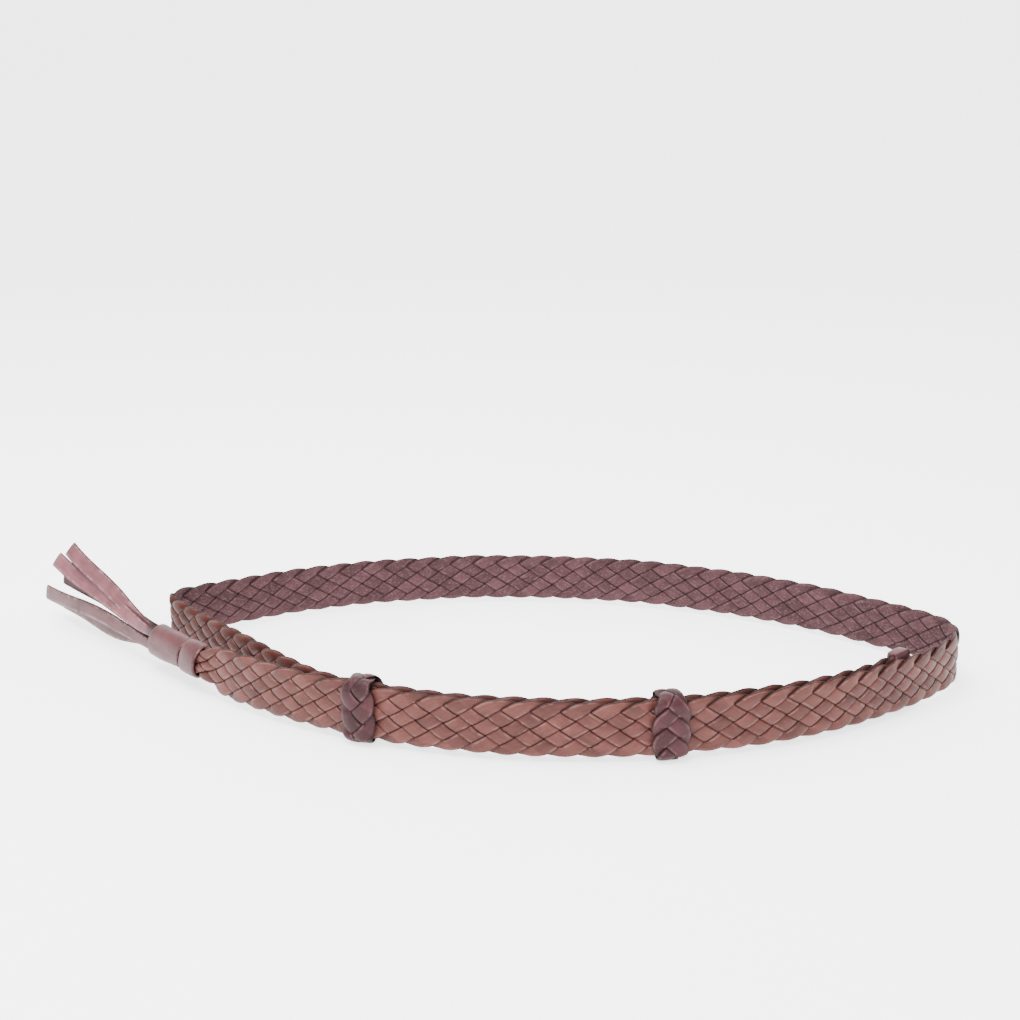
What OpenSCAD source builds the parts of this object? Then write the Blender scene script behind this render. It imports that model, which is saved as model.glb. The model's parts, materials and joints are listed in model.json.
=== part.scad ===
// Braided leather belt with two sliding plaited knots and a tassel, lying closed on its lower edge.
// +X runs along the loop's long side, +Y from its front to its back, and +Z is up.
// The origin is the middle of the outer box, on the surface that the belt stands on.

/* [Braid] */
// Width of the braided strap
strap_w = 25; // [22:0.5:28]
// Thickness of one leather strand
strand_t = 1.7; // [1.4:0.1:1.8]
// Play between two strands that cross
weave_play = 0.14; // [0.1:0.02:0.2]
// Share of its track that a strand's width fills
strand_fill = 0.8; // [0.7:0.02:0.82]
// Length along the strap from one crossing to the next
cell = 6.35; // [6:0.05:7]

/* [Loop] */
// Radius of the outer layer across the front
front_r = 248; // [242:1:256]
// Radius of the strap across the back
back_r = 283; // [278:1:290]
// Distance from the front centre of curvature to the back one, along Y
centre_gap = 324; // [321:0.5:327]
// Distance from the back centre of curvature to the front one, along X
centre_shift = 34; // [32:0.2:36]
// Radius of the tight fold at the right
right_fold_r = 26; // [22:0.5:28]
// Radius of the tight fold at the left
left_fold_r = 9; // [8:0.5:12]
// Radius of the inner layer where it leaves the outer one on the left
left_part_r = 80; // [76:1:90]
// Radius of the nearly straight run from there to the left fold
left_run_r = 2000; // [1500:50:3000]
// Radius of the inner layer where it leaves the outer one on the right
right_part_r = 150; // [140:1:170]
// Space between the two layers where they lie together
layer_gap = 0.5; // [0.4:0.1:0.8]
// Angle from the front centre line to the start of the tail
tail_deg = 46.5; // [45.5:0.5:48]
// Angle to the place where the layers part on the left
left_part_deg = 24.8; // [24.5:0.1:25.4]
// Angle to the place where the nearly straight run on the left starts
left_run_deg = 47.5; // [47:0.1:48]
// Angle to the place where the layers part on the right
right_part_deg = 27; // [26:0.5:28]
// Length of the inner layer after that place
inner_run = 60; // [54:1:64]

/* [Knots] */
// Length of a knot along the strap
knot_len = 14.5; // [13.5:0.5:16]
// Thickness of a knot above, below and behind the strap
knot_wall = 2.2; // [1.8:0.1:2.6]
// Thickness of a knot in front of the strap
knot_front = 3; // [2.4:0.1:3.6]
// Play between a knot and the strap that it slides on
knot_play = 0.3; // [0.25:0.05:0.4]
// Angle of the left knot from the front centre line
left_knot_deg = -23.2; // [-23.3:0.1:-22.6]
// Angle of the right knot from the front centre line
right_knot_deg = 8.4; // [7.4:0.1:9.4]

/* [Tail] */
// Length of the narrow wrap
narrow_wrap_l = 14; // [12:0.5:16]
// Height of the narrow wrap
narrow_wrap_h = 18.6; // [18.4:0.1:19]
// Length of the wide wrap
wide_wrap_l = 28; // [24:0.5:32]
// Height of the wide wrap
wide_wrap_h = 17.6; // [17.4:0.1:18.4]
// Thickness of both wraps across the strap
wrap_depth = 10.2; // [10:0.1:10.8]
// Thickness of the leather of a wrap
wrap_t = 1.4; // [1.2:0.1:1.5]
// Width of one tassel strip
strip_w = 7; // [6.6:0.1:7]
// Thickness of one tassel strip
strip_t = 1.6; // [1.4:0.1:1.7]

/* [Inner end] */
// Length of the wrap that binds the inner end
end_wrap_l = 10; // [8:0.5:12]
// Length of the cut ends that show past that wrap
cut_ends = 8; // [6:0.5:10]

/* [Hidden] */

// Facets of a round corner or a round end
round_fn = 48;
knot_fn = 360;

// The weave: six strands, twelve cells to a strand's full turn, one row for each sixth of the width
strands = 6;
turn = 2 * strands;
row = strap_w / strands;
lift = (strand_t + weave_play) / 2;
strap_t = 2 * lift + strand_t;
flat = strand_fill / 2;
// A strand narrows where it turns back at an edge, and its centre line rounds the corner
edge_half = 0.064 * strap_w;
edge_in = edge_half + 0.004 * strap_w;
edge_cells = 2 * edge_in / row;

// Heights
knot_bottom = knot_wall + knot_play;
mid_z = knot_bottom + strap_w / 2;

// Centres of curvature, before the origin is set
front_c = [centre_shift, centre_gap];
back_c = [0, 0];
inner_r = front_r - strap_t - layer_gap;
down = 270;

// Centre of the circle of radius r that touches two arcs from inside, on the side given by sign
function fold_centre(c1, r1, c2, r2, r, sign) =
    let (
        a = r1 - r,
        b = r2 - r,
        gap = c2 - c1,
        d = norm(gap),
        along = (a * a - b * b + d * d) / (2 * d),
        up = sqrt(a * a - along * along),
        dir = gap / d
    )
    c1 + along * dir + sign * up * [-dir[1], dir[0]];
function bearing(from, to) = atan2(to[1] - from[1], to[0] - from[0]);
function turned(a, least) = a < least ? turned(a + 360, least) : a;

right_c = fold_centre(front_c, front_r, back_c, back_r, right_fold_r, 1);
left_part_c = front_c + (inner_r - left_part_r) * [cos(down - left_part_deg), sin(down - left_part_deg)];
left_run_c = left_part_c
    + (left_part_r - left_run_r) * [cos(down - left_run_deg), sin(down - left_run_deg)];
left_c = fold_centre(left_run_c, left_run_r, back_c, back_r, left_fold_r, -1);
right_part_c = front_c
    + (inner_r - right_part_r) * [cos(down + right_part_deg), sin(down + right_part_deg)];

// Angles of the points where one arc passes into the next, always turning the same way
a_tail = down - tail_deg;
a_right_in = turned(bearing(front_c, right_c), a_tail);
a_right_out = turned(bearing(back_c, right_c), a_right_in);
a_left_in = turned(bearing(back_c, left_c), a_right_out);
a_left_out = turned(bearing(left_run_c, left_c), a_left_in);
a_left_run = turned(down - left_run_deg, a_left_out);
a_left_part = turned(down - left_part_deg, a_left_run);
a_right_part = turned(down + right_part_deg, a_left_part);
a_end = a_right_part + inner_run / right_part_r * 180 / PI;

// The strap's middle line: centre, radius, first angle, last angle
arcs = [
    [front_c, front_r, a_tail, a_right_in],
    [right_c, right_fold_r, a_right_in, a_right_out],
    [back_c, back_r, a_right_out, a_left_in],
    [left_c, left_fold_r, a_left_in, a_left_out],
    [left_run_c, left_run_r, a_left_out, a_left_run],
    [left_part_c, left_part_r, a_left_run, a_left_part],
    [front_c, inner_r, a_left_part, a_right_part],
    [right_part_c, right_part_r, a_right_part, a_end]
];
function arc_len(q) = q[1] * (q[3] - q[2]) * PI / 180;
function total(i = 0) = i == len(arcs) ? 0 : arc_len(arcs[i]) + total(i + 1);
strap_len = total();

// Tassel strips: layer across the strap, place up or down, angle above level, length
strip_set = [
    [0, 1, 17.2, 84.5],
    [1, 1, 10.3, 94],
    [-1, 1, 1.7, 102],
    [1, -1, 0.6, 110],
    [0, -1, -1, 98],
    [-1, -1, -2, 95]
];
layer_step = strip_t + 0.3;
strip_rise = strip_w / 2 + 0.2;
// Inside the wraps the strips are pressed narrower
pressed_w = 5.8;
pressed_rise = pressed_w / 2 + 0.2;
wraps_l = narrow_wrap_l + wide_wrap_l;
strip_gap = 0.3;
// Under the narrow wrap the weave stops and the strands run on straight
weave_in = 7;
straight_in = 12;
strip_root = wraps_l + strip_gap + strip_w / 2;

// The origin goes to the middle of the outer box
tail_dir = [sin(a_tail), -cos(a_tail)];
tail_start = front_c + front_r * [cos(a_tail), sin(a_tail)];
longest = strip_root + strip_set[3][3];
x_min = tail_start[0] + longest * tail_dir[0] + (layer_step + strip_t / 2) * cos(a_tail);
x_max = right_c[0] + right_fold_r + strap_t / 2;
knot_span = knot_len / front_r * 180 / PI;
knot_outer_r = front_r + strap_t / 2 + knot_play + knot_front;
y_min = front_c[1] - knot_outer_r * cos(right_knot_deg - knot_span / 2);
y_max = max(back_r + strap_t / 2, tail_start[1] + longest * tail_dir[1]);
origin = [(x_min + x_max) / 2, (y_min + y_max) / 2];

// Point at a length along the strap, a height across its width and a distance out from its middle
function on_arc(q, s) =
    let (
        a = q[2] + max(s, 0) / q[1] * 180 / PI
    )
    [
        q[0][0] + q[1] * cos(a) - min(s, 0) * sin(a),
        q[0][1] + q[1] * sin(a) + min(s, 0) * cos(a),
        a
    ];
function along(s, i = 0) =
    i == len(arcs) - 1 || s <= arc_len(arcs[i]) ? on_arc(arcs[i], s) : along(s - arc_len(arcs[i]), i + 1);
function at(s, v, h) =
    let (q = along(s))
    [q[0] + h * cos(q[2]) - origin[0], q[1] + h * sin(q[2]) - origin[1], mid_z + v];

// The tail end of the braid is drawn together before it goes into the wraps
gather_from = 20;
gather_to = 2;
gather_least = 0.56;
function gather(s) =
    let (x = min(1, max(0, (s - gather_to) / (gather_from - gather_to))))
    gather_least + (1 - gather_least) * x * x * (3 - 2 * x);

// Phase of a strand, in cells from its lowest point: it climbs for six cells and falls for six
function phase(k) = k - turn * floor(k / turn);
function rising(m) = m < strands;
function from_top(m) = abs(m - strands);
function height(m) =
    let (
        top = from_top(m),
        edge = min(top, strands - top),
        side = top < strands - top ? 1 : -1,
        curved = edge_in + edge * edge * row / (2 * edge_cells)
    )
    side * (strap_w / 2 - (edge < edge_cells ? curved : row * edge));
// Out on every second row while climbing, in on the others, and the other way round while falling
function over(k) =
    let (m = phase(k), odd = m % 2)
    m % strands == 0 ? 0 : rising(m) == (odd == 1) ? 1 : -1;

// One ring of four corners across a strand, at x cells from its crossing k
function ring(k, x, offset) =
    let (
        m = phase(k + x),
        s = cell * (k + x - offset),
        is_edge = over(k) == 0,
        half = is_edge ? [0, edge_half] : flat * [rising(phase(k)) ? -cell : cell, row],
        v = height(m),
        h = lift * over(k),
        g = gather(s),
        t = strand_t / 2
    )
    [for (c = [[1, 1], [1, -1], [-1, -1], [-1, 1]])
        at(s + c[0] * half[0], g * (v + c[0] * half[1]), (h + c[1] * t) / sqrt(g))];

// A strand woven from one length along the strap to another
module woven(number, s0, s1) {
    offset = 2 * number;
    k0 = ceil(s0 / cell) + offset;
    k1 = floor(s1 / cell) + offset;
    rings = [for (k = [k0:k1]) for (x = over(k) == 0 ? [0] : [-flat, flat]) ring(k, x, offset)];
    n = len(rings);
    sides = [for (i = [0:4:4 * n - 8]) for (j = [0:3])
        let (a = i + j, b = i + (j + 1) % 4)
        each [[a, b, b + 4], [a, b + 4, a + 4]]];
    polyhedron(
        points = [for (r = rings) each r],
        faces = concat(sides, [[3, 2, 1, 0]], [[for (j = [0:3]) 4 * (n - 1) + j]]),
        convexity = 20
    );
}

// Places its children in the tail's own directions: X back along the tail, Y out of the strap, Z up
module in_tail(back) {
    p = at(-back, 0, 0);
    translate(p) rotate([0, 0, a_tail - 90]) children();
}

// Places its children at a length along the strap: X along it, Y to the inside of the loop, Z up
module on_strap(s) {
    p = at(s, 0, 0);
    translate(p) rotate([0, 0, along(s)[2] + 90]) children();
}

// A bar with round long edges, from x = 0 to l
module round_bar(l, w, h) {
    r = w / 2;
    rotate([90, 0, 90]) linear_extrude(height = l) {
        square([w, h - w], center = true);
        for (side = [-1, 1]) translate([0, side * (h / 2 - r)]) circle(r = r, $fn = round_fn);
    }
}

// A sleeve around the strap, with the wrap's last turn lying on it as a low step
module sleeve(l, w, h, t) {
    difference() {
        round_bar(l, w, h);
        translate([-1, 0, 0]) round_bar(l + 2, w - 2 * t, h - 2 * t);
    }
}

module strand(number) {
    color("sienna") {
        woven(number, -weave_in, strap_len);
        strip = strip_set[number];
        in_tail(straight_in)
            translate([0, strip[0] * layer_step - strip_t / 2, strip[1] * pressed_rise - pressed_w / 2])
                cube([wraps_l - straight_in, strip_t, pressed_w]);
    }
}

// A plaited ring around both layers, shaped to slide along the front arc
module knot(at_deg) {
    in_r = inner_r - strap_t / 2 - knot_play;
    out_r = front_r + strap_t / 2 + knot_play;
    hole_h = strap_w + 2 * knot_play;
    color("rosybrown")
        translate([front_c[0] - origin[0], front_c[1] - origin[1], 0])
            rotate([0, 0, down + at_deg - knot_span / 2])
                rotate_extrude(angle = knot_span, $fn = knot_fn)
                    difference() {
                        translate([in_r - knot_wall, 0])
                            square([knot_outer_r - in_r + knot_wall, hole_h + 2 * knot_wall]);
                        translate([in_r, knot_wall])
                            square([out_r - in_r, hole_h]);
                    }
}

module narrow_wrap() {
    color("peru") in_tail(0) sleeve(narrow_wrap_l, wrap_depth, narrow_wrap_h, wrap_t);
}

module wide_wrap() {
    color("peru") in_tail(narrow_wrap_l + 0.1)
        sleeve(wide_wrap_l - 0.1, wrap_depth, wide_wrap_h, wrap_t);
}

module inner_end_wrap() {
    end_play = 0.2;
    hole_w = strap_t + 2 * end_play;
    hole_h = strap_w + 2 * end_play;
    color("peru") on_strap(strap_len - cut_ends - end_wrap_l / 2)
        difference() {
            cube([end_wrap_l, hole_w + 2 * wrap_t, hole_h + 2 * wrap_t], center = true);
            cube([end_wrap_l + 2, hole_w, hole_h], center = true);
        }
}

// A flat strip with a round root on its hinge and a square end
module tassel_strip(number) {
    strip = strip_set[number];
    color("rosybrown")
        in_tail(strip_root)
            translate([0, strip[0] * layer_step - strip_t / 2, strip[1] * strip_rise])
                rotate([0, -strip[2], 0]) {
                    translate([0, 0, -strip_w / 2]) cube([strip[3], strip_t, strip_w]);
                    rotate([-90, 0, 0]) cylinder(h = strip_t, d = strip_w, $fn = round_fn);
                }
}

strand(0);  // strand_1
strand(1);  // strand_2
strand(2);  // strand_3
strand(3);  // strand_4
strand(4);  // strand_5
strand(5);  // strand_6
knot(left_knot_deg);  // left_knot
knot(right_knot_deg);  // right_knot
narrow_wrap();
wide_wrap();
inner_end_wrap();
tassel_strip(0);  // tassel_strip_1
tassel_strip(1);  // tassel_strip_2
tassel_strip(2);  // tassel_strip_3
tassel_strip(3);  // tassel_strip_4
tassel_strip(4);  // tassel_strip_5
tassel_strip(5);  // tassel_strip_6
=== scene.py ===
"""The looks of a braided leather belt with two sliding knots and a tassel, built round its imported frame."""

import json
import math

import bpy
import numpy as np
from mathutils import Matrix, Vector


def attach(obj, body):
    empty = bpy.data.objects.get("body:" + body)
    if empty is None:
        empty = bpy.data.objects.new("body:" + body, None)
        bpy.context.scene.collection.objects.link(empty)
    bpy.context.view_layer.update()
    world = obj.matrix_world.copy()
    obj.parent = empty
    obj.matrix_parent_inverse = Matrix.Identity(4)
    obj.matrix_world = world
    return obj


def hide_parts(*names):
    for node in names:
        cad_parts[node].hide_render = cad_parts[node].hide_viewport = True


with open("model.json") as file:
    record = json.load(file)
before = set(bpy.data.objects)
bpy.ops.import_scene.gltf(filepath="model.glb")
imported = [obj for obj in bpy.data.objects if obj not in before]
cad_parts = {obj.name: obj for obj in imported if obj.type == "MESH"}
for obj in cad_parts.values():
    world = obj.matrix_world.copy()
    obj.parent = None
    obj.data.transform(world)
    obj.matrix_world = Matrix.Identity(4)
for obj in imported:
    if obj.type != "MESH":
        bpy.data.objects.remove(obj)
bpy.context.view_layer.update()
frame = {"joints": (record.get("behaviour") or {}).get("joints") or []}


# ---------------------------------------------------------------------------
# The strap's line
# The belt stands on its lower edge. It leaves the tail, runs across the front, folds at the right, comes
# back along the far side, folds at the left and runs on behind the front strap, all in arcs that touch.
# ---------------------------------------------------------------------------
MM = 0.001

strap_width = 25 * MM
strand_thickness = 1.7 * MM
strap_thickness = 3.54 * MM
front_radius = 248 * MM
back_radius = 283 * MM
centre_gap = 324 * MM
centre_shift = 34 * MM
right_fold_radius = 26 * MM
left_fold_radius = 9 * MM
left_part_radius = 80 * MM
left_run_radius = 2000 * MM
right_part_radius = 150 * MM
layer_gap = 0.5 * MM
tail_angle = 46.5
left_part_angle = 24.8
left_run_angle = 47.5
right_part_angle = 27
inner_run = 60 * MM

inner_radius = front_radius - strap_thickness - layer_gap
front_centre = np.array([centre_shift, centre_gap])
back_centre = np.zeros(2)
down = 270


def heading(degrees):
    """Unit vector at that bearing."""
    return np.array([math.cos(math.radians(degrees)), math.sin(math.radians(degrees))])


def fold_centre(centre_1, radius_1, centre_2, radius_2, radius, side):
    """Centre of the circle that touches two arcs from inside, to one side of the line of their centres."""
    a, b = radius_1 - radius, radius_2 - radius
    gap = centre_2 - centre_1
    d = np.linalg.norm(gap)
    along = (a * a - b * b + d * d) / (2 * d)
    direction = gap / d
    normal = np.array([-direction[1], direction[0]])
    return centre_1 + along * direction + side * math.sqrt(a * a - along * along) * normal


def bearing(start, end, least):
    """Bearing from one point to another, turned on until it is at least that."""
    angle = math.degrees(math.atan2(end[1] - start[1], end[0] - start[0]))
    while angle < least:
        angle += 360
    return angle


def turned(angle, least):
    """The same angle, turned on until it is at least that."""
    while angle < least:
        angle += 360
    return angle


right_centre = fold_centre(front_centre, front_radius, back_centre, back_radius, right_fold_radius, 1)
left_part_centre = front_centre + (inner_radius - left_part_radius) * heading(down - left_part_angle)
left_run_centre = left_part_centre + (left_part_radius - left_run_radius) * heading(down - left_run_angle)
left_centre = fold_centre(left_run_centre, left_run_radius, back_centre, back_radius, left_fold_radius, -1)
right_part_centre = front_centre + (inner_radius - right_part_radius) * heading(down + right_part_angle)

tail_start = down - tail_angle
right_in = bearing(front_centre, right_centre, tail_start)
right_out = bearing(back_centre, right_centre, right_in)
left_in = bearing(back_centre, left_centre, right_out)
left_out = bearing(left_run_centre, left_centre, left_in)
left_run_end = turned(down - left_run_angle, left_out)
left_parting = turned(down - left_part_angle, left_run_end)
right_parting = turned(down + right_part_angle, left_parting)
strap_end = right_parting + math.degrees(inner_run / right_part_radius)

arcs = [
    (front_centre, front_radius, tail_start, right_in),
    (right_centre, right_fold_radius, right_in, right_out),
    (back_centre, back_radius, right_out, left_in),
    (left_centre, left_fold_radius, left_in, left_out),
    (left_run_centre, left_run_radius, left_out, left_run_end),
    (left_part_centre, left_part_radius, left_run_end, left_parting),
    (front_centre, inner_radius, left_parting, right_parting),
    (right_part_centre, right_part_radius, right_parting, strap_end),
]
arc_centres = np.array([a[0] for a in arcs])
arc_radii = np.array([a[1] for a in arcs])
arc_starts = np.radians([a[2] for a in arcs])
arc_lengths = np.array([a[1] * math.radians(a[3] - a[2]) for a in arcs])
arc_begins = np.concatenate([[0], np.cumsum(arc_lengths)[:-1]])
strap_length = float(arc_lengths.sum())

# The right knot's hinge lies at the centre of the front arc, which places the whole line in the frame
knot_hinge = next(j for j in frame["joints"] if j["name"] == "right_knot_slide")
origin = front_centre - np.array(knot_hinge["pos_m"][:2])
strap_bottom = 2.5 * MM
middle_height = strap_bottom + strap_width / 2


def on_strap(s, v, h):
    """Points at lengths s along the strap, heights v from its middle and distances h out of it."""
    s, v, h = np.broadcast_arrays(s, v, h)
    which = np.clip(np.searchsorted(arc_begins, s, side="right") - 1, 0, len(arcs) - 1)
    inside = np.maximum(s - arc_begins[which], 0)
    before = np.minimum(s, 0)
    angle = arc_starts[which] + inside / arc_radii[which]
    radius = arc_radii[which] + h
    cos, sin = np.cos(angle), np.sin(angle)
    x = arc_centres[which, 0] + radius * cos - before * sin - origin[0]
    y = arc_centres[which, 1] + radius * sin + before * cos - origin[1]
    return np.stack([x, y, middle_height + v], axis=-1)


# ---------------------------------------------------------------------------
# Leather
# Vegetable-tanned lace, dyed reddish brown: a fine smooth grain outside, a rougher and darker flesh side
# inside, paler where an edge has rubbed, with a painted highlight there as well, and painted darker as shade
# in the gaps between strands and where a strand lies under its neighbours.
# ---------------------------------------------------------------------------
def new_group(name, inputs, outputs):
    """An empty shader group with those sockets: (name, type, default)."""
    group = bpy.data.node_groups.new(name, "ShaderNodeTree")
    for label, kind, default in inputs:
        socket = group.interface.new_socket(label, in_out="INPUT", socket_type=kind)
        if default is not None:
            socket.default_value = default
    for label, kind in outputs:
        group.interface.new_socket(label, in_out="OUTPUT", socket_type=kind)
    start = group.nodes.new("NodeGroupInput")
    end = group.nodes.new("NodeGroupOutput")
    return group, start, end


def maths(tree, operation, *values, clamp=False):
    """A Math node with numbers or sockets put in; returns its output."""
    node = tree.nodes.new("ShaderNodeMath")
    node.operation = operation
    node.use_clamp = clamp
    for slot_, value in zip(node.inputs, values):
        if isinstance(value, bpy.types.NodeSocket):
            tree.links.new(value, slot_)
        else:
            slot_.default_value = value
    return node.outputs[0]


def ranged(tree, value, low, high, to_low, to_high):
    """A Map Range node, clamped and smooth; returns its output."""
    node = tree.nodes.new("ShaderNodeMapRange")
    node.interpolation_type = "SMOOTHSTEP"
    tree.links.new(value, node.inputs["Value"])
    for label, number in zip(("From Min", "From Max", "To Min", "To Max"), (low, high, to_low, to_high)):
        node.inputs[label].default_value = number
    return node.outputs["Result"]


def mixed(tree, factor, first, second, blend="MIX"):
    """A colour Mix node; returns its output."""
    node = tree.nodes.new("ShaderNodeMix")
    node.data_type = "RGBA"
    node.blend_type = blend
    for label, value in (("Factor_Float", factor), ("A_Color", first), ("B_Color", second)):
        socket = next(i for i in node.inputs if i.identifier == label)
        if isinstance(value, bpy.types.NodeSocket):
            tree.links.new(value, socket)
        else:
            socket.default_value = value
    return next(o for o in node.outputs if o.identifier == "Result_Color")


def noise(tree, vector, scale, detail=3, roughness=0.5):
    """A Noise Texture node; returns its factor."""
    node = tree.nodes.new("ShaderNodeTexNoise")
    tree.links.new(vector, node.inputs["Vector"])
    node.inputs["Scale"].default_value = scale
    node.inputs["Detail"].default_value = detail
    node.inputs["Roughness"].default_value = roughness
    return node.outputs[0]


def attribute(tree, name, output="Fac"):
    """A mesh attribute's value."""
    node = tree.nodes.new("ShaderNodeAttribute")
    node.attribute_name = name
    return node.outputs[output]


# Grain: a fine pebble of cells with pores between them, and the long faint fibres along the strip
grain_group, group_in, group_out = new_group(
    "leather_grain",
    [("Vector", "NodeSocketVector", None), ("Pebble Scale", "NodeSocketFloat", 1500.0),
     ("Roughness of Flesh", "NodeSocketFloat", 0.0)],
    [("Height", "NodeSocketFloat"), ("Tone", "NodeSocketFloat")],
)
voronoi = grain_group.nodes.new("ShaderNodeTexVoronoi")
grain_group.links.new(group_in.outputs["Vector"], voronoi.inputs["Vector"])
grain_group.links.new(group_in.outputs["Pebble Scale"], voronoi.inputs["Scale"])
pebble = ranged(grain_group, voronoi.outputs["Distance"], 0.0, 0.7, 1.0, 0.0)
crease = noise(grain_group, group_in.outputs["Vector"], 260.0, 4, 0.6)
stretch = grain_group.nodes.new("ShaderNodeMapping")
stretch.inputs["Scale"].default_value = (90.0, 700.0, 700.0)
grain_group.links.new(group_in.outputs["Vector"], stretch.inputs["Vector"])
fibre = noise(grain_group, stretch.outputs[0], 1.0, 3, 0.55)
rough_part = maths(grain_group, "MULTIPLY", fibre, group_in.outputs["Roughness of Flesh"])
smooth_part = maths(grain_group, "ADD", maths(grain_group, "MULTIPLY", pebble, 0.35), crease)
grain_group.links.new(maths(grain_group, "ADD", smooth_part, rough_part), group_out.inputs["Height"])
blotch = noise(grain_group, group_in.outputs["Vector"], 75.0, 3, 0.55)
blotch_part = maths(grain_group, "MULTIPLY", blotch, 0.7)
fibre_part = maths(grain_group, "MULTIPLY", fibre, 0.3)
grain_group.links.new(maths(grain_group, "ADD", blotch_part, fibre_part), group_out.inputs["Tone"])

# Rubbing and painted light: how far a place is rubbed pale with a painted highlight, and how far it is
# painted dark as shade, from the strip's own edge and depth
rub_and_shade_group, group_in, group_out = new_group(
    "leather_rub_and_shade",
    [("Vector", "NodeSocketVector", None), ("Edge", "NodeSocketFloat", 0.0),
     ("Depth", "NodeSocketFloat", 0.0)],
    [("Rubbed and Highlight", "NodeSocketFloat"), ("Painted Shade", "NodeSocketFloat")],
)
# Pale on raised edges that lie on top: partly rubbed wear, partly a painted highlight
patchy = noise(rub_and_shade_group, group_in.outputs["Vector"], 220.0, 3, 0.6)
near_edge = ranged(rub_and_shade_group, group_in.outputs["Edge"], 0.5, 0.8, 0.0, 0.55)
on_top = ranged(rub_and_shade_group, group_in.outputs["Depth"], 0.1, 0.6, 1.0, 0.0)
rub_and_highlight = maths(rub_and_shade_group, "MULTIPLY", near_edge, ranged(rub_and_shade_group, patchy, 0.42, 0.66, 0.0, 1.0))
rub_and_shade_group.links.new(maths(rub_and_shade_group, "MULTIPLY", rub_and_highlight, on_top), group_out.inputs["Rubbed and Highlight"])
# Painted shade: darker towards a strip's long edges, in the gaps between strands, and where it lies under its
# neighbours
painted_edge_shade = ranged(rub_and_shade_group, group_in.outputs["Edge"], 0.76, 1.0, 0.0, 0.92)
painted_sunk_shade = ranged(rub_and_shade_group, group_in.outputs["Depth"], 0.25, 0.9, 0.0, 1.0)
rub_and_shade_group.links.new(maths(rub_and_shade_group, "MAXIMUM", painted_edge_shade, painted_sunk_shade), group_out.inputs["Painted Shade"])


def leather(name, colour, shade_colour, pale, roughness, flesh=0.0, bump=0.25):
    """A leather finish: its body colour, the colour of its painted shade, and the pale of its rubbed edges
    and painted highlights.
    """
    material = bpy.data.materials.new(name)
    material.use_nodes = True
    tree = material.node_tree
    shader = tree.nodes["Principled BSDF"]
    place = attribute(tree, "strip_place", "Vector")
    grain = tree.nodes.new("ShaderNodeGroup")
    grain.node_tree = grain_group
    grain.inputs["Roughness of Flesh"].default_value = flesh
    tree.links.new(place, grain.inputs["Vector"])
    rub_and_shade = tree.nodes.new("ShaderNodeGroup")
    rub_and_shade.node_tree = rub_and_shade_group
    tree.links.new(place, rub_and_shade.inputs["Vector"])
    tree.links.new(attribute(tree, "strip_edge"), rub_and_shade.inputs["Edge"])
    tree.links.new(attribute(tree, "strip_depth"), rub_and_shade.inputs["Depth"])
    body = mixed(tree, ranged(tree, grain.outputs["Tone"], 0.32, 0.68, 0.0, 1.0),
                 (*[c * 0.72 for c in colour], 1), (*[c * 1.24 for c in colour], 1))
    shade = mixed(tree, attribute(tree, "strip_tone"), (0.74, 0.71, 0.73, 1), (1.28, 1.26, 1.28, 1))
    toned = mixed(tree, 1.0, body, shade, "MULTIPLY")
    if flesh:
        # Loose fibres stand up pale all over the flesh side
        loose = ranged(tree, noise(tree, place, 1100.0, 3, 0.7), 0.5, 0.72, 0.0, 0.75)
        toned = mixed(tree, loose, toned, (*pale, 1))
    # Rubbed pale with a painted highlight, then darkened with painted shade in the gaps and under neighbours
    rubbed = mixed(tree, rub_and_shade.outputs["Rubbed and Highlight"], toned, (*pale, 1))
    finished = mixed(tree, rub_and_shade.outputs["Painted Shade"], rubbed, (*shade_colour, 1))
    tree.links.new(finished, shader.inputs["Base Color"])
    tree.links.new(ranged(tree, grain.outputs["Tone"], 0.3, 0.7, roughness + 0.06, roughness - 0.06),
                   shader.inputs["Roughness"])
    shader.inputs["Specular IOR Level"].default_value = 0.14
    relief = tree.nodes.new("ShaderNodeBump")
    relief.inputs["Strength"].default_value = bump
    relief.inputs["Distance"].default_value = 0.0004
    tree.links.new(grain.outputs["Height"], relief.inputs["Height"])
    tree.links.new(relief.outputs["Normal"], shader.inputs["Normal"])
    return material


# ---------------------------------------------------------------------------
# The braid
# Six strands of lace cross over one and under one. A strand climbs across the strap in six cells, rounds
# the edge and goes back in six more. Pulled tight, the wave of each one has the shape of the next one's
# section.
# ---------------------------------------------------------------------------
cell = 6.35 * MM

# Where a section is sampled, as shares of the cell, and where a ring of points stands along each cell
lace_edge = 0.497
across = np.array([-lace_edge, -0.476, -0.39, -0.21, 0.0, 0.21, 0.39, 0.476, lace_edge])
cell_stops = np.array([0.0, 0.2, 0.36, 0.45, 0.5, 0.55, 0.64, 0.8])
fullness = 0.42

# Where a strand rounds the edge it spreads by this share, and lies this deep in the shade of its neighbours
turn_widening = 0.16
turn_depth = 0.15


def rounded(x):
    """The wave and the section of a tight weave: flat on top, steep at its sides, from 1 to 0 at a half."""
    wave = np.cos(np.pi * x)
    return np.sign(wave) * np.abs(wave) ** fullness


def wobble(*phases):
    """A smooth made-up unevenness between -1 and 1, from a few waves that don't repeat together."""
    total = sum(np.sin(p * f + g) for p, f, g in zip(phases, (1.0, 1.37, 0.61), (0.3, 2.1, 4.4)))
    return total / len(phases)


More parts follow.
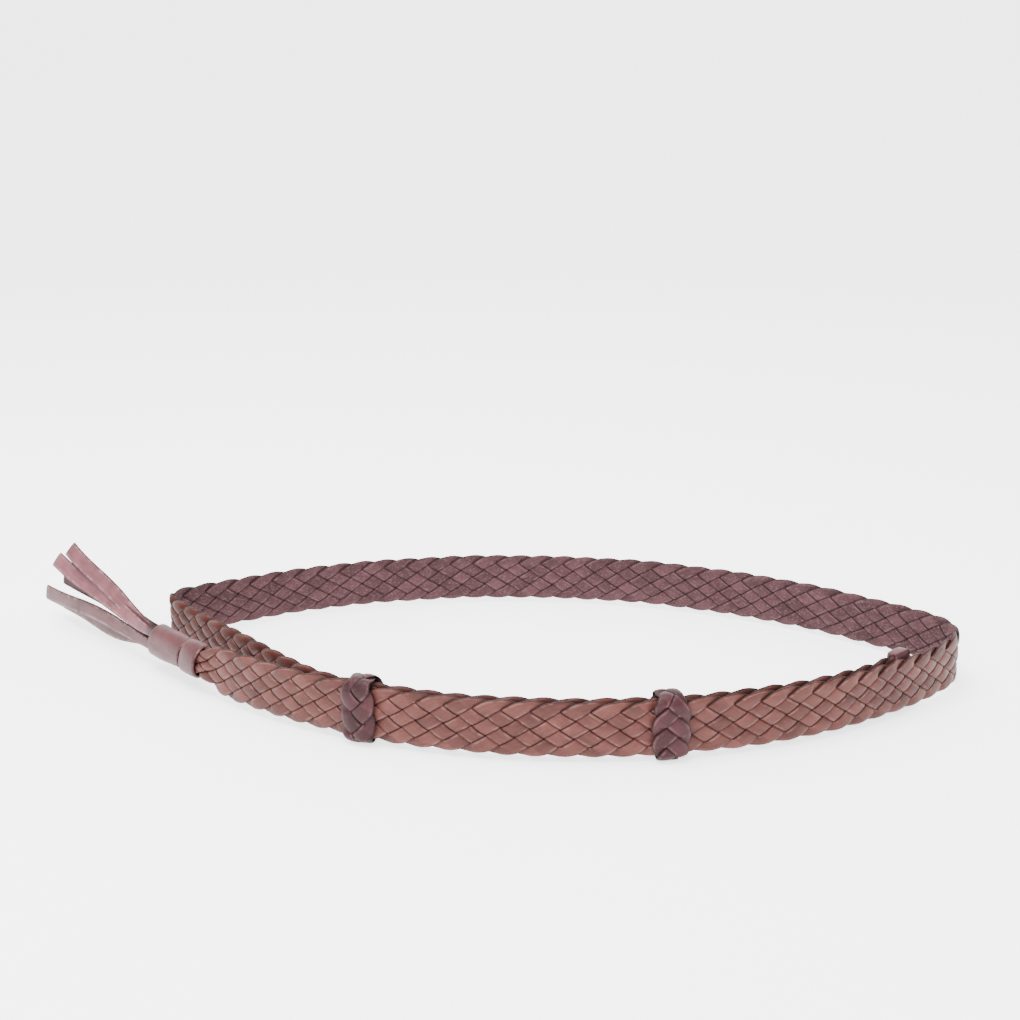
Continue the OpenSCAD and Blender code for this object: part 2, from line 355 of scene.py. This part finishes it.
def weave(strands, cell_length, row, k, b, thickness):
    """One strand of a flat plait, at lengths k in cells and places b across it.

    Gives its place along and across the plait, the heights of its middle and of half its thickness, and how
    deep its outer and its inner face lie under its neighbours."""
    turn = 2 * strands
    m = np.mod(k, turn)
    from_top = np.abs(m - strands)
    at_top = from_top < strands / 2
    edge = np.minimum(from_top, strands - from_top)
    # Within one cell of an edge the line rounds off into a parabola
    inset = np.where(edge < 1, row / 2 * (1 + edge * edge), row * edge)
    middle = np.where(at_top, 1, -1) * (strands * row / 2 - inset)
    climbing = np.where(m < strands, 1.0, -1.0)
    before_turn = np.where(at_top, strands - m, np.where(m < strands, m, m - turn))
    lean = np.where(edge < 1, np.sin(np.pi / 2 * before_turn), climbing)
    # Over on every second row while climbing and the other way round while falling
    nearest = np.round(k)
    order = np.mod(nearest, turn)
    over = np.where((order < strands) == (np.mod(order, 2) == 1), 1.0, -1.0)
    wave = over * rounded(k - nearest)
    # Round an edge the strand goes from one face to the other in one long wave
    last = np.where(at_top, strands - 1, -1)
    from_last = np.where(at_top | (m < strands), m, m - turn) - last
    last_over = np.where(np.mod(last, 2) == 1, 1.0, -1.0) * np.where(at_top, 1.0, -1.0)
    wave = np.where(edge < 1, last_over * rounded(from_last / 2), wave)
    beside_edge = np.clip(1 - edge, 0, 1)
    widen = 1 + turn_widening * beside_edge
    edge_depth = turn_depth * beside_edge
    return (
        cell_length * (k + b * lean),
        middle - b * row * widen,
        thickness / 2 * wave,
        thickness / 2 * np.abs(rounded(b)),
        (1 - wave) / 2 * (1 - beside_edge) + edge_depth,
        (1 + wave) / 2 * (1 - beside_edge) + edge_depth,
    )


def store(mesh, label, values):
    """Keeps a number, or a place in the hide, for every point of a mesh."""
    kind, key = ("FLOAT_VECTOR", "vector") if values.ndim == 3 else ("FLOAT", "value")
    layer = mesh.attributes.new(label, kind, "POINT")
    layer.data.foreach_set(key, values.astype(np.float32).ravel())


def made(name, mesh):
    """A finished mesh as an object in the scene."""
    mesh.validate()
    piece = bpy.data.objects.new(name, mesh)
    bpy.context.scene.collection.objects.link(piece)
    return piece


def ribbon(name, top, bottom, place, tone, edge, depths, closed, outside, inside):
    """A strip's mesh from the rows of points on its two faces, with what its leather needs to know.

    top and bottom are (rows, points across, 3). place, tone and edge hold the strip's own coordinates, its
    shade and how near the long edge a point is; depths, how deep each face lies under its neighbours."""
    rows, wide = top.shape[:2]
    rings = np.concatenate([top, bottom[:, ::-1]], axis=1)
    around = 2 * wide
    i = np.arange(rows if closed else rows - 1)[:, None] * around
    j = np.arange(around)[None, :]
    beside = (j + 1) % around
    after = (i + around) % (rows * around)
    quads = np.stack([i + j, after + j, after + beside, i + beside], axis=-1).reshape(-1, 4)
    faces = [tuple(q) for q in quads.tolist()]
    if not closed:
        faces.append(tuple(range(around)))
        faces.append(tuple((rows - 1) * around + n for n in reversed(range(around))))
    mesh = bpy.data.meshes.new(name)
    mesh.from_pydata(rings.reshape(-1, 3).tolist(), [], faces)
    mesh.materials.append(outside)
    mesh.materials.append(inside)
    inner = np.tile((j[0] >= wide) & (j[0] < around - 1), i.shape[0]).astype(int).tolist()
    ends = len(faces) - len(inner)
    mesh.polygons.foreach_set("material_index", inner + [1] * ends)
    mesh.polygons.foreach_set("use_smooth", [True] * len(inner) + [False] * ends)
    other_face = np.array([0, 0, 4 * MM])
    store(mesh, "strip_tone", np.concatenate([tone, tone[:, ::-1]], axis=1))
    store(mesh, "strip_edge", np.concatenate([edge, edge[:, ::-1]], axis=1))
    store(mesh, "strip_depth", np.concatenate([depths[0], depths[1][:, ::-1]], axis=1))
    store(mesh, "strip_place", np.concatenate([place, place[:, ::-1] + other_face], axis=1))
    return made(name, mesh)


def fitted(piece, node, body):
    """Puts a finished piece in the place of its node, which it hides, and with the body that it moves with.
    """
    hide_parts(node)
    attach(piece, body)


# Each finish's dark colour is the painted shade in its gaps and under its neighbours; its pale colour serves
# rubbed edges, painted highlights and, on the flesh side, loose fibres
braid_grain = leather("braid_leather", colour=(0.070, 0.0235, 0.0190), shade_colour=(0.008, 0.002, 0.002),
                      pale=(0.19, 0.085, 0.075), roughness=0.46)
braid_flesh = leather("braid_flesh", colour=(0.044, 0.0180, 0.0205), shade_colour=(0.006, 0.002, 0.002),
                      pale=(0.12, 0.060, 0.065), roughness=0.66, flesh=0.9, bump=0.6)

strands = 6
row = strap_width / strands
lace_run = 7.6 * MM
lace_width = 7 * MM
gather_from, gather_to = 20 * MM, 2 * MM
gather_least, gather_bulge = 0.64, 0.5
under_wrap = 7 * MM
over_floor = 0.3 * MM

# How far a hand-made braid strays along, across and as a whole, and how far its cut ends creep back
stray_along, stray_across, stray_edge = 0.9 * MM, 0.3 * MM, 0.2 * MM
creep_least, creep_more = 0.5 * MM, 2.5 * MM
chance = np.random.default_rng(11)


def gathered(s, least):
    """A share that falls from one to that least towards the wraps, where the braid is drawn together."""
    x = np.clip((s - gather_to) / (gather_from - gather_to), 0, 1)
    return least + (1 - least) * x * x * (3 - 2 * x)


def place_on_strap(s, v, h):
    """Points of the braid on the strap, with its hand-made unevenness."""
    s = s + stray_along * wobble(v / (3.1 * MM), s / (23 * MM), s / (9 * MM))
    v = v + stray_across * wobble(s / (29 * MM), s / (11 * MM), v / (5 * MM))
    v = gathered(s, gather_least) * v + stray_edge * wobble(s / (47 * MM), s / (19 * MM))
    return on_strap(s, np.maximum(v, over_floor - middle_height), h / gathered(s, gather_bulge))


for number in range(strands):
    lead = 2 * number
    first = math.ceil(-under_wrap / cell) + lead
    last = math.floor(strap_length / cell) + lead
    stations = (np.arange(first, last)[:, None] + cell_stops[None, :]).ravel()
    # The strands were cut off together with a knife, and each has crept back by its own small amount
    cut_end = strap_length - (creep_least + creep_more * chance.random())
    stations = stations[stations < cut_end / cell + lead]
    crossing = np.round(stations).astype(int) - first
    tone_of = chance.uniform(0, 1, crossing.max() + 2) * 0.8 + 0.2 * chance.uniform(0, 1)
    width_of = chance.uniform(0.985, 1.0, crossing.max() + 2)
    k, b = np.meshgrid(stations, across, indexing="ij")
    b = b * width_of[crossing][:, None]
    s, v, middle, half, *depths = weave(strands, cell, row, k, b, strand_thickness)
    s = s - cell * lead
    top = place_on_strap(s, v, middle + half)
    bottom = place_on_strap(s, v, middle - half)
    # Each strand is cut from another part of the hide
    place = np.stack([k * lace_run + 0.61 * number, b * lace_width, np.full_like(k, 0.1 * number)], axis=-1)
    tone = np.broadcast_to(tone_of[crossing][:, None], k.shape)
    strand = ribbon(f"braid_strand_{number + 1}", top, bottom, place, tone, np.abs(b) / lace_edge, depths,
                    False, braid_grain, braid_flesh)
    fitted(strand, f"strand_{number + 1}", "strap")


# ---------------------------------------------------------------------------
# The sliding knots
# Each is one long lace plaited three strands wide round both layers of the strap, until it meets its own
# start. It holds the layers together by its grip alone and can be pushed along them.
# ---------------------------------------------------------------------------
knot_grain = leather("knot_leather", colour=(0.034, 0.0098, 0.0118), shade_colour=(0.004, 0.001, 0.0015),
                     pale=(0.12, 0.050, 0.052), roughness=0.44)
knot_flesh = leather("knot_flesh", colour=(0.033, 0.013, 0.0155), shade_colour=(0.004, 0.001, 0.0015),
                     pale=(0.09, 0.045, 0.05), roughness=0.62, flesh=0.9)

knot_length = 14.5 * MM
knot_play = 0.4 * MM
knot_strands = 3
knot_lace_run = 5.5 * MM
knot_lace_width = 6 * MM
# The lace is narrower than its cell by this, so that the plait shows its gaps
knot_slack = 0.985
knot_stray_along, knot_stray_across = 0.07, 0.45 * MM
# The plait's width at mid height, and what it loses where it turns over the strap's edges
knot_fullest, knot_drawn = 1.13, 0.38
knot_swelling = 0.45
knot_stops = np.array([0.0, 0.13, 0.25, 0.36, 0.43, 0.5, 0.57, 0.64, 0.75, 0.87])
# The middle of the plait runs round this upright rectangle: from the front centre, then above the floor
ring_low = np.array([inner_radius - strap_thickness / 2 - knot_play - 1.2 * MM, 1.02 * MM])
ring_high = np.array([front_radius + strap_thickness / 2 + knot_play + 1.5 * MM, 29.4 * MM])
ring_corner = 3.2 * MM


def round_ring(share):
    """Places and outward directions round that rectangle for shares of its way, down the front first."""
    size = ring_high - ring_low - 2 * ring_corner
    quarter = math.pi / 2 * ring_corner
    sides = [(size[1], 0), (quarter, 0), (size[0], -90), (quarter, -90), (size[1], -180), (quarter, -180),
             (size[0], -270), (quarter, -270)]
    lengths = np.array([side[0] for side in sides])
    begins = np.concatenate([[0], np.cumsum(lengths)])
    travel = np.mod(share, 1.0) * begins[-1]
    which = np.clip(np.searchsorted(begins, travel, side="right") - 1, 0, 7)
    part = (travel - begins[which]) / lengths[which]
    side_facing = np.array([side[1] for side in sides])[which]
    facing = np.radians(side_facing - np.where(which % 2 == 1, 90 * part, 0))
    low, high = ring_low + ring_corner, ring_high - ring_corner
    corners = np.array([(high[0], high[1]), (high[0], low[1]), (low[0], low[1]), (low[0], high[1])])
    start = corners[(which // 2) % 4]
    end = corners[(which // 2 + 1) % 4]
    centre = np.where((which % 2 == 0)[..., None], start + part[..., None] * (end - start), end)
    outward = np.stack([np.cos(facing), np.sin(facing)], axis=-1)
    return centre + ring_corner * outward, outward


# Side, degrees off straight down from the front centre, cells in one round, which way it runs, and its seed
for side, at_angle, cells, sense, seed in (("left", -23.2, 14, 1, 3), ("right", 8.4, 16, -1, 8)):
    luck = np.random.default_rng(seed)
    stations = (np.arange(knot_strands * cells)[:, None] + knot_stops[None, :]).ravel()
    k, b = np.meshgrid(stations, across * knot_slack, indexing="ij")
    crossing = np.round(stations).astype(int)
    tone_of = luck.uniform(0, 1, crossing.max() + 1)
    tone_of[-1] = tone_of[0]
    s, v, middle, half, *depths = weave(knot_strands, 1.0, knot_length / knot_strands, k, b, 1.0)
    # The unevenness comes round to its own start, as the plait does
    lap = 2 * np.pi * s / cells
    share = sense * (s + knot_stray_along * wobble(lap, 2 * lap, v / (4 * MM))) / cells
    spot, outward = round_ring(share)
    # Drawn together where it turns over the strap's edges
    height_share = (2 * spot[..., 1] - ring_low[1] - ring_high[1]) / (ring_high[1] - ring_low[1])
    v = v * (knot_fullest - knot_drawn * height_share ** 4)
    v = v + knot_stray_across * wobble(2 * np.pi * share, 6 * np.pi * share, 4 * np.pi * share)
    # Thin where the belt stands on it, full across the front, and swelling towards the middle of its length
    lace = (1.22 + 0.16 * outward[..., 0] + 0.25 * np.minimum(outward[..., 1], 0)) * MM
    crown = np.maximum(0, 1 - (2 * v / knot_length) ** 2)
    swell = knot_swelling * (1 + outward[..., 0]) * MM * crown
    facing_floor = outward[..., 1] < -0.3
    swell = np.where(facing_floor, 0, swell)
    angle = math.radians(down + at_angle) + v / front_radius
    faces = []
    for h in (middle + half, middle - half):
        section = spot + ((h * lace) + swell)[..., None] * outward
        faces.append(np.stack([
            front_centre[0] - origin[0] + section[..., 0] * np.cos(angle),
            front_centre[1] - origin[1] + section[..., 0] * np.sin(angle),
            section[..., 1],
        ], axis=-1))
    tone_rows = tone_of[crossing]
    if sense < 0:
        # Rows taken backwards keep the mesh's outside out
        faces = [face[::-1] for face in faces]
        depths = [d[::-1] for d in depths]
        k, b, tone_rows = k[::-1], b[::-1], tone_rows[::-1]
    place = np.stack([k * knot_lace_run, b * knot_lace_width, np.full_like(k, 0.05 * seed)], axis=-1)
    tone = np.broadcast_to(tone_rows[:, None], k.shape)
    knot = ribbon(f"{side}_plaited_knot", faces[0], faces[1], place, tone,
                  np.abs(b) / (lace_edge * knot_slack), depths, True, knot_grain, knot_flesh)
    fitted(knot, f"{side}_knot", f"{side}_knot")


# ---------------------------------------------------------------------------
# The wraps
# A narrow strip is wound round the drawn-in end of the braid, and a wide one in front of it, with its last
# turn pulled under. A third strip binds the inner end, so that the strands can't work loose.
# ---------------------------------------------------------------------------
wrap_grain = leather("wrap_leather", colour=(0.066, 0.0225, 0.0245), shade_colour=(0.008, 0.0025, 0.003),
                     pale=(0.26, 0.13, 0.135), roughness=0.38, bump=0.2)

narrow_wrap_length = 14 * MM
wide_wrap_length = 28 * MM
tail_out = heading(tail_start)
tail_along = np.array([math.sin(math.radians(tail_start)), -math.cos(math.radians(tail_start))])


def in_tail(x, y, z):
    """Points x back along the tail from the strap's start, y out of the strap and z up from its middle."""
    base = on_strap(np.zeros(1), 0.0, 0.0)[0]
    x, y, z = np.broadcast_arrays(x, y, z)
    level = x[..., None] * tail_along + y[..., None] * tail_out
    return base + np.concatenate([level, z[..., None]], axis=-1)


def sleeve(name, placing, length, width, height, squareness, flare, slant, seam, tone, lip):
    """A wound band: rows of points round its outside, its rolled ends and a short way up its inside.

    It flares towards its far end. slant leans its ends, seam is where round it the last turn ends, tone is
    its shade, and lip is how thick it looks at its ends."""
    slack = 0.35 * MM
    # Each row's place along the sleeve and how far inside the outer skin it lies
    rows = [(3.0 * MM, lip), (0.5 * MM, lip), (0.12 * MM, 0.8 * lip), (0.0, 0.5 * lip),
            (0.12 * MM, 0.2 * lip), (0.5 * MM, 0.0)]
    middle_rows = [(x, 0.0) for x in np.linspace(1.2 * MM, length - 1.2 * MM, 14)]
    rows = rows + middle_rows + [(length - x, inset) for x, inset in reversed(rows)]
    x = np.array([r[0] for r in rows])[:, None]
    inset = np.array([r[1] for r in rows])[:, None]
    turn = np.linspace(0, 2 * np.pi, 72, endpoint=False)[None, :]
    cos, sin = np.cos(turn), np.sin(turn)
    # The last turn ends on the outside as a low step that dies away round the sleeve
    past_seam = np.mod(turn - seam, 2 * np.pi) / (2 * np.pi)
    step = 0.5 * MM * np.clip(1 - 1.6 * past_seam, 0, 1)
    creases = 0.22 * MM * wobble(3 * turn + x / (4 * MM), 2 * turn - x / (7 * MM), x / (3 * MM))
    on_outside = inset < 0.9 * lip
    swell = slack * np.sin(np.pi * np.clip(x / length, 0, 1)) ** 0.6 + (step + creases) * on_outside
    swell = swell + flare * (x / length) ** 2
    y = (width / 2 - inset + swell) * np.sign(cos) * np.abs(cos) ** squareness
    z = (height / 2 - inset + swell) * np.sign(sin) * np.abs(sin) ** squareness
    shift = -slant * np.sin(turn)
    points = placing(x + shift, y, z)
    count_rows, around = points.shape[:2]
    i = np.arange(count_rows - 1)[:, None] * around
    j = np.arange(around)[None, :]
    beside = (j + 1) % around
    quads = np.stack([i + j, i + around + j, i + around + beside, i + beside], axis=-1).reshape(-1, 4)
    mesh = bpy.data.meshes.new(name)
    mesh.from_pydata(points.reshape(-1, 3).tolist(), [], [tuple(q) for q in quads.tolist()])
    mesh.materials.append(wrap_grain)
    mesh.polygons.foreach_set("use_smooth", [True] * len(quads))
    # At the rolled ends the band is painted dark as shade inside, and outside it is rubbed pale with a
    # painted highlight and edged with painted shade
    near_end = 1 - np.clip(np.minimum(x, length - x) / (1.6 * MM), 0, 1)
    within = inset > 0.6 * lip
    everywhere = points.shape[:2]
    # A painted light from above: the band's top is painted lighter and its underside darker
    store(mesh, "strip_tone", np.broadcast_to(tone + 0.3 * np.sin(turn), everywhere))
    store(mesh, "strip_edge", np.broadcast_to(np.where(within, 1.0, 0.9 * near_end), everywhere))
    store(mesh, "strip_depth", np.broadcast_to(np.where(within, 0.85, 0.05), everywhere))
    store(mesh, "strip_place", np.stack(np.broadcast_arrays(turn * 8 * MM, x, inset), axis=-1))
    return made(name, mesh)


wrap_slant = 3.2 * MM
narrow_wrap = sleeve("narrow_wrap_band", in_tail, length=narrow_wrap_length - 0.4 * MM, width=10.6 * MM,
                     height=18.0 * MM, squareness=0.9, flare=-0.4 * MM, slant=wrap_slant, seam=3.6, tone=0.3,
                     lip=1.7 * MM)
fitted(narrow_wrap, "narrow_wrap", "strap")


def in_wide_wrap(x, y, z):
    """Points of the wide wrap, x from the narrow wrap to the mouth."""
    return in_tail(x + narrow_wrap_length + 0.5 * MM, y, z)


wide_wrap = sleeve("wide_wrap_band", in_wide_wrap, length=wide_wrap_length - 0.6 * MM, width=10.2 * MM,
                   height=16.4 * MM, squareness=0.88, flare=0.6 * MM, slant=wrap_slant, seam=2.7, tone=0.5,
                   lip=1.3 * MM)
fitted(wide_wrap, "wide_wrap", "strap")


binding_from_end = 18 * MM


def at_inner_end(x, y, z):
    """Points of the binding near the strap's inner end, x along the strap, y out of it and z up."""
    return on_strap(strap_length - binding_from_end + x, z, y)


end_binding = sleeve("inner_end_binding", at_inner_end, length=10 * MM, width=5.9 * MM, height=26.2 * MM,
                     squareness=0.4, flare=0.0, slant=0.8 * MM, seam=1.2, tone=0.4, lip=1.75 * MM)
fitted(end_binding, "inner_end_wrap", "strap")


# ---------------------------------------------------------------------------
# The tassel
# Past the wraps the six strands hang free as flat strips with square-cut ends. Each has taken its own
# slight bow and twist. One shows its darker flesh side, and the lower three are darker, in the wraps' finish.
# ---------------------------------------------------------------------------
tassel_grain = leather("tassel_leather", colour=(0.105, 0.041, 0.0455), shade_colour=(0.012, 0.004, 0.005),
                       pale=(0.30, 0.16, 0.17), roughness=0.42, bump=0.2)
tassel_flesh = leather("tassel_flesh", colour=(0.040, 0.0155, 0.0175), shade_colour=(0.008, 0.002, 0.003),
                       pale=(0.12, 0.06, 0.065), roughness=0.66, flesh=0.9, bump=0.5)

strip_width = 7 * MM
strip_thickness = 1.6 * MM
strip_root = narrow_wrap_length + wide_wrap_length + 0.3 * MM + strip_width / 2
layer_step = 1.9 * MM
strip_rise = 3.7 * MM
strip_inside = 6 * MM
strip_sway = 0.4 * MM
# How much of its width a strip has at the mouth, and how much it gains over its first stretch
breadth_at_mouth, breadth_gain, gain_over = 0.86, 0.32, 34 * MM
# Layer across the strap, place up or down, angle above level, length, bow up, bow out, twist and shade
strip_shapes = [
    (0, 1, 17.2, 84.5, -1.5, 1.4, -36, 0.75),
    (1, 1, 10.3, 94, -1.0, 2.2, -36, 0.9),
    (-1, 1, 1.7, 102, 0.8, -1.6, -10, 0.4),
    (1, -1, 0.6, 110, 2.2, 2.0, -8, 0.6),
    (0, -1, -1, 98, -2.4, 0.2, -5, 0.3),
    (-1, -1, -2, 95, -0.6, -1.4, -3, 0.5),
]
for number, (strip_layer, place_up, rise, length, bow_up, bow_out, twist, shade) in enumerate(strip_shapes):
    along = np.concatenate([np.linspace(-strip_inside, 0, 5), np.linspace(0, length * MM, 40)[1:]])
    wide = np.array([-0.5, -0.485, -0.43, -0.25, 0, 0.25, 0.43, 0.485, 0.5])
    x, w = np.meshgrid(along, wide, indexing="ij")
    share = np.clip(x / (length * MM), 0, 1)
    turned_by = np.radians(twist) * np.sin(np.pi / 2 * np.clip(2.2 * share, 0, 1))
    # Squeezed together inside the wrap and spreading to its full width past the mouth
    breadth = strip_width * (breadth_at_mouth + breadth_gain * np.clip(x / gain_over, 0, 1))
    half = strip_thickness / 2 * np.clip(1 - (np.abs(w) / 0.5) ** 8, 0.12, 1)
    curl = 0.35 * MM * (2 * np.abs(w)) ** 2 * np.sin(np.pi * share)
    climb = math.radians(rise)
    lifted = np.clip(x / strip_inside, 0, 1)
    up_line = bow_up * MM * (np.sin(np.pi * share) + 0.25 * np.sin(3 * np.pi * share + number))
    out_line = bow_out * MM * (1 - np.cos(np.pi * share)) / 2
    out_line = out_line + strip_sway * np.sin(2.5 * np.pi * share + number)
    faces = []
    for side_sign in (1, -1):
        out = side_sign * half + curl
        up = w * breadth * np.cos(turned_by) - out * np.sin(turned_by) + up_line * lifted
        sideways = w * breadth * np.sin(turned_by) + out * np.cos(turned_by) + out_line * lifted
        past = x * np.cos(climb) - up * np.sin(climb)
        above = np.maximum(x, 0) * np.sin(climb) + up * np.cos(climb)
        height = np.maximum(strip_rise * place_up + above, over_floor - middle_height)
        faces.append(in_tail(strip_root + past, strip_layer * layer_step + sideways, height))
    place = np.stack([x + 0.37 * number, w * strip_width, np.full_like(x, 0.07 * number)], axis=-1)
    tone = np.broadcast_to(shade + 0 * x, x.shape)
    # Painted shade where a strip goes into the mouth of the wide wrap
    shade_at_mouth = np.clip(1 - (x + 1 * MM) / (7 * MM), 0, 1) * 0.8
    front_finish = tassel_flesh if number == 2 else wrap_grain if number > 2 else tassel_grain
    strip = ribbon(f"tassel_strip_{number + 1}_lace", faces[0], faces[1], place, tone, np.abs(w) / 0.5,
                   (shade_at_mouth, shade_at_mouth), False, front_finish, tassel_flesh)
    fitted(strip, f"tassel_strip_{number + 1}", f"tassel_strip_{number + 1}")


# ---------------------------------------------------------------------------
# The studio
# A plain pale sweep of paper, curved up far behind the belt and lit a little from beneath. Two soft boxes
# stand over it and in front of it, and the room is bright all round.
# ---------------------------------------------------------------------------
floor_mesh = bpy.data.meshes.new("floor")
floor_half = 8.0
sweep_start, sweep_radius = 3.0, 2.5
profile = [(-floor_half, 0.0)] + [
    (sweep_start + sweep_radius * math.sin(a), sweep_radius * (1 - math.cos(a)))
    for a in np.linspace(0, math.pi / 2, 25)
] + [(sweep_start + sweep_radius, 5.0)]
floor_points = [(x, y, z) for y, z in profile for x in (-floor_half, floor_half)]
floor_faces = [(2 * n, 2 * n + 1, 2 * n + 3, 2 * n + 2) for n in range(len(profile) - 1)]
floor_mesh.from_pydata(floor_points, [], floor_faces)
floor_mesh.polygons.foreach_set("use_smooth", [True] * len(floor_faces))
floor = made("floor", floor_mesh)
floor_paint = bpy.data.materials.new("floor_paint")
floor_paint.use_nodes = True
floor_shader = floor_paint.node_tree.nodes["Principled BSDF"]
floor_shader.inputs["Base Color"].default_value = (0.93, 0.93, 0.93, 1)
floor_shader.inputs["Roughness"].default_value = 0.9
floor_shader.inputs["Specular IOR Level"].default_value = 0.1
floor_shader.inputs["Emission Color"].default_value = (1, 1, 1, 1)
floor_shader.inputs["Emission Strength"].default_value = 1.7
floor_mesh.materials.append(floor_paint)

world = bpy.data.worlds.new("studio_air")
world.use_nodes = True
world.node_tree.nodes["Background"].inputs["Color"].default_value = (1, 1, 1, 1)
world.node_tree.nodes["Background"].inputs["Strength"].default_value = 2.1
bpy.context.scene.world = world


def soft_box(name, place, aim, size, power):
    """A square area light aimed at a point."""
    light = bpy.data.lights.new(name, "AREA")
    light.size = size
    light.energy = power
    lamp = bpy.data.objects.new(name, light)
    lamp.location = place
    lamp.rotation_euler = (Vector(aim) - Vector(place)).to_track_quat("-Z", "Y").to_euler()
    bpy.context.scene.collection.objects.link(lamp)


loop_centre = (0, 0, 0)
soft_box("overhead_softbox", place=(-0.25, -0.1, 1.3), aim=loop_centre, size=0.9, power=34)
soft_box("front_softbox", place=(-0.5, -1.4, 0.9), aim=loop_centre, size=0.7, power=20)

camera_data = bpy.data.cameras.new("camera")
camera_data.lens = 49.41
camera_data.sensor_width = 36
camera = bpy.data.objects.new("camera", camera_data)
# The camera stands in front of the loop, at these places on the strap's own plan, and looks a little down
camera_across, camera_before, camera_height = 0.0019, -0.4745, 0.26745
looking_down = 15.72
camera.location = (camera_across - origin[0], camera_before - origin[1], camera_height)
camera.rotation_euler = (math.radians(90 - looking_down), 0, 0)
bpy.context.scene.collection.objects.link(camera)
bpy.context.scene.camera = camera
